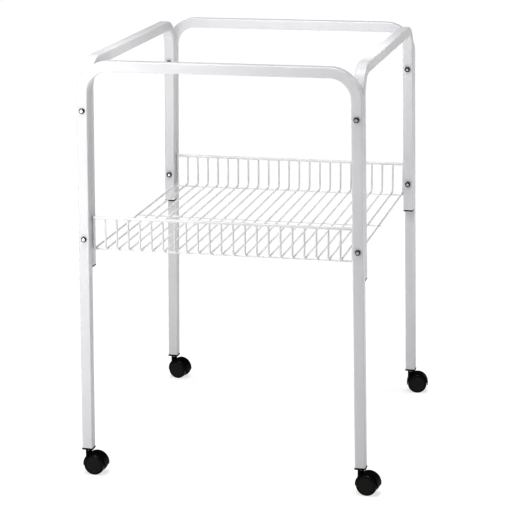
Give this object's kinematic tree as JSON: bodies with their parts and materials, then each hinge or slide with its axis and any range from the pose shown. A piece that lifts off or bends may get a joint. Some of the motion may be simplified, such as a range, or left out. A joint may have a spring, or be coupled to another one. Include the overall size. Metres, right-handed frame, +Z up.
{
  "type": "rolling bird cage stand",
  "caption": "Rolling stand for a bird cage: inverted-U square tube hoops bolted at the corners, a wire shelf between the legs and twin-wheel swivel castors.",
  "frame": {"origin": "centre of the box around the parked stand, on the floor under the castor wheels", "axes": "+Z up; +Y from the front hoop towards the back hoop, square to both; +X to the right of someone who faces the front hoop"},
  "size_m": [0.5801, 0.6576, 0.8006],
  "materials": {
    "white_powder_coat": "semi-gloss white powder coat with a slight orange-peel texture",
    "white_coated_wire": "semi-gloss white coating over welded steel wire",
    "zinc_plated_fastener": "bright zinc plate",
    "zinc_plated_pin": "bright zinc plate, smooth drawn pin",
    "black_moulded_plastic": "satin black moulded plastic",
    "black_wheel_plastic": "satin black nylon",
    "nylon_spacer": "natural nylon"
  },
  "bodies": {
    "frame": {"front_hoop": "white_powder_coat", "back_hoop": "white_powder_coat", "left_hoop": "white_powder_coat", "right_hoop": "white_powder_coat", "front_left_upper_bolt": "zinc_plated_fastener", "front_left_lower_bolt": "zinc_plated_fastener", "front_left_upper_nut": "zinc_plated_fastener", "front_left_lower_nut": "zinc_plated_fastener", "front_left_spacer_washer": "nylon_spacer", "back_left_upper_bolt": "zinc_plated_fastener", "back_left_lower_bolt": "zinc_plated_fastener", "back_left_upper_nut": "zinc_plated_fastener", "back_left_lower_nut": "zinc_plated_fastener", "back_left_spacer_washer": "nylon_spacer", "front_right_upper_bolt": "zinc_plated_fastener", "front_right_lower_bolt": "zinc_plated_fastener", "front_right_upper_nut": "zinc_plated_fastener", "front_right_lower_nut": "zinc_plated_fastener", "front_right_spacer_washer": "nylon_spacer", "back_right_upper_bolt": "zinc_plated_fastener", "back_right_lower_bolt": "zinc_plated_fastener", "back_right_upper_nut": "zinc_plated_fastener", "back_right_lower_nut": "zinc_plated_fastener", "back_right_spacer_washer": "nylon_spacer", "front_left_leg_plug": "black_moulded_plastic", "back_left_leg_plug": "black_moulded_plastic", "front_right_leg_plug": "black_moulded_plastic", "back_right_leg_plug": "black_moulded_plastic", "shelf_wire_grid": "white_coated_wire", "shelf_front_rail": "white_coated_wire", "shelf_back_rail": "white_coated_wire", "front_left_castor_socket": "black_moulded_plastic", "front_left_castor_stem": "zinc_plated_pin", "front_left_castor_grip_ring": "zinc_plated_pin", "back_left_castor_socket": "black_moulded_plastic", "back_left_castor_stem": "zinc_plated_pin", "back_left_castor_grip_ring": "zinc_plated_pin", "front_right_castor_socket": "black_moulded_plastic", "front_right_castor_stem": "zinc_plated_pin", "front_right_castor_grip_ring": "zinc_plated_pin", "back_right_castor_socket": "black_moulded_plastic", "back_right_castor_stem": "zinc_plated_pin", "back_right_castor_grip_ring": "zinc_plated_pin"},
    "front_left_castor": {"front_left_castor_hood": "black_moulded_plastic", "front_left_castor_axle": "zinc_plated_pin"},
    "front_left_front_wheel": {"front_left_castor_front_wheel": "black_wheel_plastic"},
    "front_left_back_wheel": {"front_left_castor_back_wheel": "black_wheel_plastic"},
    "front_right_castor": {"front_right_castor_hood": "black_moulded_plastic", "front_right_castor_axle": "zinc_plated_pin"},
    "front_right_front_wheel": {"front_right_castor_front_wheel": "black_wheel_plastic"},
    "front_right_back_wheel": {"front_right_castor_back_wheel": "black_wheel_plastic"},
    "back_left_castor": {"back_left_castor_hood": "black_moulded_plastic", "back_left_castor_axle": "zinc_plated_pin"},
    "back_left_front_wheel": {"back_left_castor_front_wheel": "black_wheel_plastic"},
    "back_left_back_wheel": {"back_left_castor_back_wheel": "black_wheel_plastic"},
    "back_right_castor": {"back_right_castor_hood": "black_moulded_plastic", "back_right_castor_axle": "zinc_plated_pin"},
    "back_right_front_wheel": {"back_right_castor_front_wheel": "black_wheel_plastic"},
    "back_right_back_wheel": {"back_right_castor_back_wheel": "black_wheel_plastic"}
  },
  "joints": [
    {"name": "front_left_swivel", "type": "hinge", "parent": "frame", "child": "front_left_castor", "pos_m": [-0.2792, -0.3085, 0.0446], "axis": [0, 0, 1], "continuous": true},
    {"name": "front_left_front_wheel_spin", "type": "hinge", "parent": "front_left_castor", "child": "front_left_front_wheel", "pos_m": [-0.26533, -0.32094, 0.02], "axis": [0.0523, 0.9986, 0], "continuous": true},
    {"name": "front_left_back_wheel_spin", "type": "hinge", "parent": "front_left_castor", "child": "front_left_back_wheel", "pos_m": [-0.2641, -0.29757, 0.02], "axis": [0.0523, 0.9986, 0], "continuous": true},
    {"name": "front_right_swivel", "type": "hinge", "parent": "frame", "child": "front_right_castor", "pos_m": [0.252, -0.3085, 0.0446], "axis": [0, 0, 1], "continuous": true},
    {"name": "front_right_front_wheel_spin", "type": "hinge", "parent": "front_right_castor", "child": "front_right_front_wheel", "pos_m": [0.26473, -0.3221, 0.02], "axis": [0.1392, 0.9903, 0], "continuous": true},
    {"name": "front_right_back_wheel_spin", "type": "hinge", "parent": "front_right_castor", "child": "front_right_back_wheel", "pos_m": [0.26798, -0.29893, 0.02], "axis": [0.1392, 0.9903, 0], "continuous": true},
    {"name": "back_left_swivel", "type": "hinge", "parent": "frame", "child": "back_left_castor", "pos_m": [-0.2792, 0.3085, 0.0446], "axis": [0, 0, 1], "continuous": true},
    {"name": "back_left_front_wheel_spin", "type": "hinge", "parent": "back_left_castor", "child": "back_left_front_wheel", "pos_m": [-0.26796, 0.29364, 0.02], "axis": [0.2419, 0.9703, 0], "continuous": true},
    {"name": "back_left_back_wheel_spin", "type": "hinge", "parent": "back_left_castor", "child": "back_left_back_wheel", "pos_m": [-0.2623, 0.31634, 0.02], "axis": [0.2419, 0.9703, 0], "continuous": true},
    {"name": "back_right_swivel", "type": "hinge", "parent": "frame", "child": "back_right_castor", "pos_m": [0.252, 0.3085, 0.0446], "axis": [0, 0, 1], "continuous": true},
    {"name": "back_right_front_wheel_spin", "type": "hinge", "parent": "back_right_castor", "child": "back_right_front_wheel", "pos_m": [0.26798, 0.29893, 0.02], "axis": [-0.1392, 0.9903, 0], "continuous": true},
    {"name": "back_right_back_wheel_spin", "type": "hinge", "parent": "back_right_castor", "child": "back_right_back_wheel", "pos_m": [0.26473, 0.3221, 0.02], "axis": [-0.1392, 0.9903, 0], "continuous": true}
  ]
}
